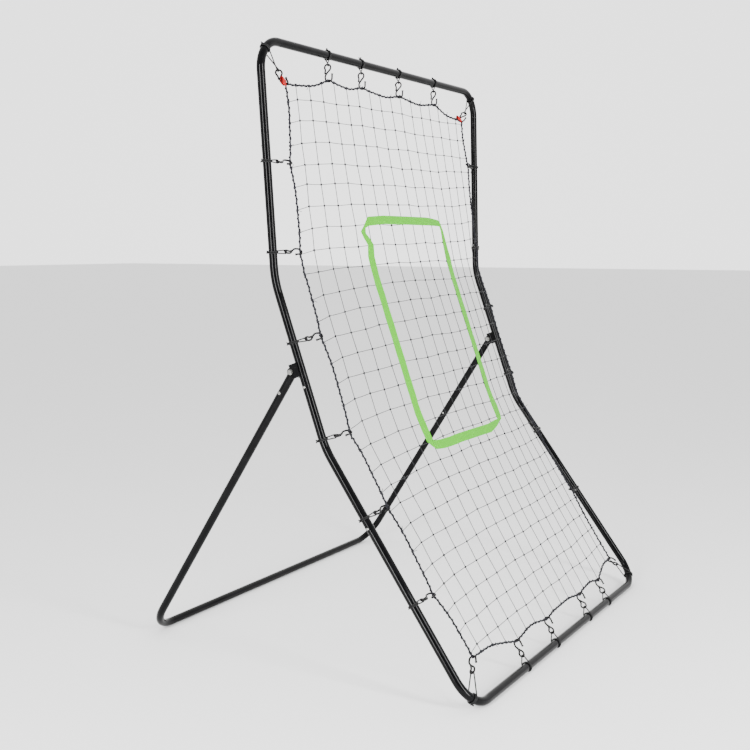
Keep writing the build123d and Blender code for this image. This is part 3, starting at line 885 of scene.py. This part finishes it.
for word, held_hooks in hooks.items():
    loops, ends, lumps_at = [], [], []
    for held, tied, s in held_hooks:
        place = local_frame(held, tied, s)
        loop, tail, knot = elastic_lines((tied - held).length)
        loops.append([place @ point for point in loop])
        ends += [[place @ point for point in line] for line in tail]
        lumps_at.append(place @ knot)
    if word == "bottom":
        loops = [raised(line, ELASTIC_FLOOR) for line in loops]
        ends = [raised(line, ELASTIC_FLOOR) for line in ends]
        lumps_at = raised(lumps_at, KNOT_R)
    piece = tubes(f"{word}_elastic_loops", loops, ELASTIC_R, 2, elastic_braid, closed=True)
    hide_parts(f"{word}_elastics")
    tail_piece = tubes(f"{word}_elastic_tails", ends, ELASTIC_R, 2, elastic_braid)
    knot_sizes = [(KNOT_R,) * 3] * len(lumps_at)
    knot_piece = lumps(f"{word}_elastic_knots", lumps_at, knot_sizes, elastic_braid)
    for made in (piece, tail_piece, knot_piece):
        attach(made, "frame")
    print(word, "elastics", triangles(piece))

# %% [markdown]
# ## The strike zone
#
# A flat lime ribbon marks the strike zone, seven meshes wide and eleven high. It is laced in front of
# the net, and folded over at its corners. Its line is drawn in x and s, and each short strip
# between two stations is a quad, so the ribbon can widen, narrow and kink.

# %% The ribbon's two edges
RIBBON_LIFT = 1.9 * MM
# The left and right runs lie this much over or under the other two.
RUN_LIFT = 0.7 * MM
RIPPLE = 0.35 * MM
RIBBON_ACROSS = 4


def ribbon_edges():
    """Outer and inner edge of the four runs, as stations of (x, s) pairs in millimetres."""
    left = [((-180, 1147), (-182, 1125)), ((-203, 1125), (-197, 1120)), ((-218, 1111), (-200, 1107))]
    left += [((-211, 1096), (-187, 1094)), ((-200, 1079), (-176, 1080))]
    left += [((-207, s), (-182, s)) for s in range(1048, 600, -28)] + [((-206, 580), (-180, 588))]
    left += [((-205, 550), (-179, 552)), ((-194, 538), (-178, 550)), ((-181, 525), (-178, 547))]
    low = [((-181, 525), (-178, 547)), ((-150, 521), (-150, 544)), ((-105, 520), (-105, 543))]
    low += [((x, 521), (x, 544)) for x in range(-75, 120, 30)] + [((137, 528), (132, 547))]
    low += [((160, 534), (156, 549)), ((175, 540), (177, 550))]
    right = [((175, 540), (177, 550)), ((200, 548), (178, 551)), ((208, 558), (177, 560))]
    right += [((213, 592), (177, 592))] + [((207, s), (180, s)) for s in range(620, 1060, 28)]
    right += [((202, 1070), (178, 1070)), ((191, 1118), (177, 1116)), ((181, 1136), (175, 1128))]
    top = [((181, 1136), (175, 1128)), ((171, 1145), (168, 1129)), ((123, 1150), (123, 1130))]
    top += [((x, 1151), (x, 1130)) for x in range(95, -140, -30)] + [((-180, 1147), (-182, 1125))]
    return [left, low, right, top]


def ribbon_strip(bm, uv_layer, stations, lift):
    """One run of ribbon, a grid of quads between its two edges."""
    grid, run = [], 0.0
    for number, (outer, inner) in enumerate(stations):
        row = []
        for step in range(RIBBON_ACROSS + 1):
            t = step / RIBBON_ACROSS
            x = (outer[0] + (inner[0] - outer[0]) * t) * MM
            s = (outer[1] + (inner[1] - outer[1]) * t) * MM
            ripple = RIPPLE * math.sin(number * 2.1 + t * 2)
            place = net_point(x, s) + to_player(s) * (lift + ripple)
            row.append(bm.verts.new(place))
        grid.append(row)
    for row, (a, b) in enumerate(zip(grid, grid[1:])):
        step_length = (a[0].co - b[0].co).length / MM
        for k in range(RIBBON_ACROSS):
            face = bm.faces.new((a[k], a[k + 1], b[k + 1], b[k]))
            width = (a[0].co - a[-1].co).length / MM / RIBBON_ACROSS
            values = ((run, k * width), (run, (k + 1) * width))
            values += ((run + step_length, (k + 1) * width), (run + step_length, k * width))
            for loop, value in zip(face.loops, values):
                loop[uv_layer].uv = value
        run += step_length


ribbon_mesh = bpy.data.meshes.new("lime_strike_zone")
ribbon_bm = bmesh.new()
ribbon_uv = ribbon_bm.loops.layers.uv.new("cloth")
for number, stations in enumerate(ribbon_edges()):
    ribbon_strip(ribbon_bm, ribbon_uv, stations, RIBBON_LIFT + (number % 2) * RUN_LIFT)
bmesh.ops.recalc_face_normals(ribbon_bm, faces=ribbon_bm.faces)
ribbon_bm.to_mesh(ribbon_mesh)
ribbon_bm.free()
ribbon = bpy.data.objects.new("lime_strike_zone", ribbon_mesh)
bpy.context.scene.collection.objects.link(ribbon)
ribbon.data.materials.append(lime_ribbon)
thickness = ribbon.modifiers.new("thickness", "SOLIDIFY")
thickness.thickness = 0.6 * MM
thickness.offset = 0.0
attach(ribbon, "frame")
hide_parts("strike_zone_ribbon")
print("ribbon faces", len(ribbon_mesh.polygons))

# %% [markdown]
# ## Red corner tags
#
# A small red cloth tag is folded round the rope at each top corner, to show which way up the net
# goes. It is a strip bent over the rope, so its section is a narrow U.

# %% Corner tags
TAG_GAP = ROPE_R + 0.9 * MM
TAG_START = 4 * MM
TAG_STEPS = 8
TAG_LENGTHS = {"left": 34.0 * MM, "right": 24.0 * MM}
TAG_DROPS = {"left": 13.0 * MM, "right": 8.0 * MM}
# How far the free end of each tag leans to the player.
TAG_LEANS = {"left": 16.0 * MM, "right": 0.0}
# Where each tag starts, as x and s, and the way it runs. The left one sticks out past the rope.
TAG_LINES = {"left": (Vector((-CORNER_X + 4 * MM, TOP_CORNER_S + 2 * MM)), Vector((-1.0, 0.1)))}
TAG_LINES["right"] = (Vector((CORNER_X, TOP_CORNER_S)), Vector((-1.0, 0.35)))


def tag_section(drop):
    """The strip's section over the rope: down the front, round the top and down the back."""
    line = [(-drop * (1 - k / 4), TAG_GAP) for k in range(4)]
    turns = [math.pi * k / 8 for k in range(9)]
    line += [(math.sin(turn) * TAG_GAP, math.cos(turn) * TAG_GAP) for turn in turns]
    return line + [(-drop * k / 4, -TAG_GAP) for k in range(1, 4)]


def corner_tag(word):
    start, way = TAG_LINES[word]
    bm = bmesh.new()
    uv_layer = bm.loops.layers.uv.new("cloth")
    rows = []
    for step in range(TAG_STEPS + 1):
        t = step / TAG_STEPS
        x, s = start + way.normalized() * (TAG_START + TAG_LENGTHS[word] * t)
        front = to_player(s)
        up = Vector((0, 0, 1))
        swell = 1 + 0.5 * math.sin(math.pi * t)
        line = tag_section(TAG_DROPS[word])
        section = [up * (a * (0.9 + 0.2 * t)) + front * (b * swell) for a, b in line]
        middle = on_net(x, s) + front * (TAG_LEANS[word] * t)
        rows.append([bm.verts.new(middle + offset) for offset in section])
    for row, (a, b) in enumerate(zip(rows, rows[1:])):
        for k in range(len(a) - 1):
            face = bm.faces.new((a[k], a[k + 1], b[k + 1], b[k]))
            corners = ((row, k), (row, k + 1), (row + 1, k + 1), (row + 1, k))
            for loop, (u, v) in zip(face.loops, corners):
                loop[uv_layer].uv = (u * 3.0, v * 1.6)
    bmesh.ops.recalc_face_normals(bm, faces=bm.faces)
    mesh = bpy.data.meshes.new(f"red_tag_{word}")
    bm.to_mesh(mesh)
    bm.free()
    mesh.shade_smooth()
    tag = bpy.data.objects.new(f"red_tag_{word}", mesh)
    bpy.context.scene.collection.objects.link(tag)
    tag.data.materials.append(red_cloth)
    wall = tag.modifiers.new("thickness", "SOLIDIFY")
    wall.thickness = 0.5 * MM
    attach(tag, "frame")
    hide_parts(f"corner_tag_{word}")


corner_tag("left")
corner_tag("right")
print("tags made")

# %% [markdown]
# ## Studio
#
# A pale floor and soft white light keep the black tubes readable. Two tall narrow strips give the
# pair of long bright streaks that gloss black tube shows, and they fill the front of the net. The
# room is brighter behind the object than in front of it, so that the gloss black stays black.

# %% Floor and lights
FLOOR_SIZE = 40.0
FLOOR_GREY = (0.94, 0.94, 0.94)
# The way to the brightest part of the room, and the strength away from it and towards it.
BRIGHT_WAY = (0.85, 0.52, 0.0)
ROOM_STRENGTHS = (0.5, 2.6)
STRIP_WIDTH = 0.6
STRIP_HEIGHT = 2.6
STRIP_POWER = 210.0
STRIP_TARGET = (-0.4, 0, 0.9)
floor_bm = bmesh.new()
bmesh.ops.create_grid(floor_bm, x_segments=2, y_segments=2, size=FLOOR_SIZE)
floor_mesh = bpy.data.meshes.new("floor")
floor_bm.to_mesh(floor_mesh)
floor_bm.free()
floor = bpy.data.objects.new("floor", floor_mesh)
bpy.context.scene.collection.objects.link(floor)
floor.data.materials.append(finish("pale_floor", FLOOR_GREY, 0.8)[0])

world = bpy.data.worlds.new("studio")
world.use_nodes = True
backdrop = world.node_tree.nodes["Background"]
backdrop.inputs["Color"].default_value = (1.0, 1.0, 1.0, 1.0)
direction = world.node_tree.nodes.new("ShaderNodeTexCoord")
towards = world.node_tree.nodes.new("ShaderNodeVectorMath")
towards.operation = "DOT_PRODUCT"
towards.inputs[1].default_value = BRIGHT_WAY
level = world.node_tree.nodes.new("ShaderNodeMapRange")
level.inputs["From Min"].default_value = -1.0
level.inputs["To Min"].default_value = ROOM_STRENGTHS[0]
level.inputs["To Max"].default_value = ROOM_STRENGTHS[1]
world.node_tree.links.new(direction.outputs["Generated"], towards.inputs[0])
world.node_tree.links.new(towards.outputs["Value"], level.inputs["Value"])
world.node_tree.links.new(level.outputs["Result"], backdrop.inputs["Strength"])
bpy.context.scene.world = world


def strip_light(name, place):
    light = bpy.data.lights.new(name, "AREA")
    light.shape = "RECTANGLE"
    light.size, light.size_y, light.energy = STRIP_WIDTH, STRIP_HEIGHT, STRIP_POWER
    lamp = bpy.data.objects.new(name, light)
    lamp.location = place
    aim = Vector(STRIP_TARGET) - Vector(place)
    lamp.rotation_euler = aim.to_track_quat("-Z", "Y").to_euler()
    lamp.visible_camera = False
    bpy.context.scene.collection.objects.link(lamp)


strip_light("left_strip", (-3.4, -0.15, 1.1))
strip_light("right_strip", (-0.75, -3.0, 1.1))
print("studio ready")
